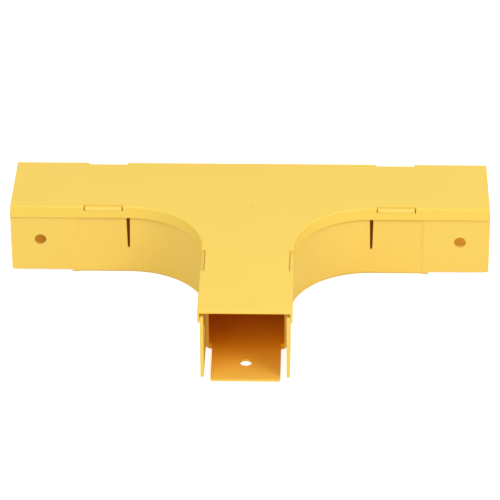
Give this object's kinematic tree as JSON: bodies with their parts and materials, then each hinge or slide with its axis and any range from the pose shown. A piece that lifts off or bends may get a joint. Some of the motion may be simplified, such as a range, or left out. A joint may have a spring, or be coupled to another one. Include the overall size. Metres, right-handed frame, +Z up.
{
  "type": "fibre raceway tee fitting",
  "caption": "Horizontal tee for square fibre raceway: open trough with swept inner corners and slotted walls, end tongues with fixing holes, and a clip-on lid held by catches in windows.",
  "frame": {"origin": "on the underside of the floor, where the axis of the two arms crosses the axis of the stem", "axes": "+X along the two arms, the stem points towards -Y, +Z up out of the underside through the lid"},
  "size_m": [0.333, 0.1979, 0.0547],
  "materials": {
    "yellow_plastic": "satin moulded plastic, warm yellow through and through"
  },
  "bodies": {
    "root": {"tee_body": "yellow_plastic", "tee_lid": "yellow_plastic"}
  },
  "joints": []
}
